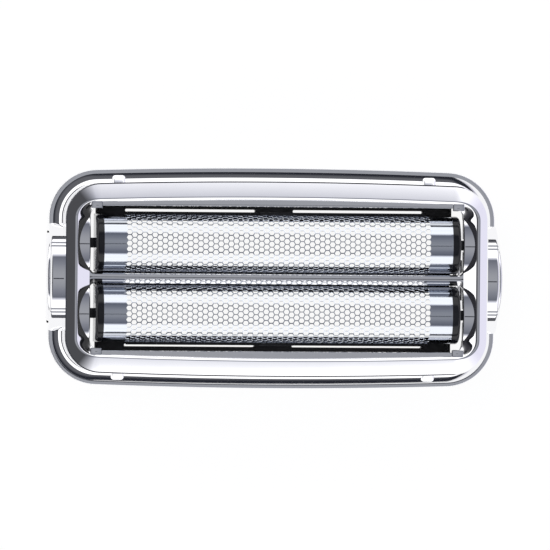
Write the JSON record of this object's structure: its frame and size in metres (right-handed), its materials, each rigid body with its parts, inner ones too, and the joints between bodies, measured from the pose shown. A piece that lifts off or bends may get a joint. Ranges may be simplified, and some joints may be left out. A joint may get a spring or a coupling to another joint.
{
  "type": "shaver foil head",
  "caption": "Twin-foil electric shaver head: plated oblong frame with two sprung perforated foil cassettes either side of a bar and a press-in release button at each end.",
  "frame": {"origin": "middle of the bounding box at its underside, under the middle of the frame's bottom edge", "axes": "+X along the foils to the right of the picture, +Y towards the rear foil, +Z out through the foils"},
  "size_m": [0.0594, 0.0288, 0.0151],
  "materials": {
    "plated_frame": "bright chrome plate on moulded plastic",
    "plated_button": "bright chrome plate on moulded plastic",
    "foil_metal": "bright electroformed nickel sheet",
    "black_plastic": "glossy black moulding",
    "dark_plastic": "fine matt black moulding",
    "spring_steel": "drawn spring wire"
  },
  "bodies": {
    "head": {"outer_frame": "plated_frame", "cassette_retainer": "dark_plastic", "rear_left_float_spring": "spring_steel", "rear_right_float_spring": "spring_steel", "front_left_float_spring": "spring_steel", "front_right_float_spring": "spring_steel", "left_button_spring": "spring_steel", "right_button_spring": "spring_steel"},
    "rear_cassette": {"rear_foil": "foil_metal", "rear_foil_carrier": "black_plastic", "rear_foil_outer_strip": "black_plastic", "rear_foil_inner_strip": "black_plastic"},
    "front_cassette": {"front_foil": "foil_metal", "front_foil_carrier": "black_plastic", "front_foil_outer_strip": "black_plastic", "front_foil_inner_strip": "black_plastic"},
    "left_button": {"left_release_button": "plated_button"},
    "right_button": {"right_release_button": "plated_button"}
  },
  "joints": [
    {"name": "rear_foil_float", "type": "slide", "parent": "head", "child": "rear_cassette", "axis": [0, 0, -1], "range_m": [0, 0.0012], "stiffness_N_per_m": 250, "springref_m": -0.002, "deforming": ["rear_left_float_spring", "rear_right_float_spring"]},
    {"name": "front_foil_float", "type": "slide", "parent": "head", "child": "front_cassette", "axis": [0, 0, -1], "range_m": [0, 0.0012], "stiffness_N_per_m": 250, "springref_m": -0.002, "deforming": ["front_left_float_spring", "front_right_float_spring"]},
    {"name": "left_button_press", "type": "slide", "parent": "head", "child": "left_button", "axis": [1, 0, 0], "range_m": [0, 0.001], "stiffness_N_per_m": 400, "springref_m": -0.0015, "deforming": ["left_button_spring"]},
    {"name": "right_button_press", "type": "slide", "parent": "head", "child": "right_button", "axis": [-1, 0, 0], "range_m": [0, 0.001], "stiffness_N_per_m": 400, "springref_m": -0.0015, "deforming": ["right_button_spring"]}
  ]
}
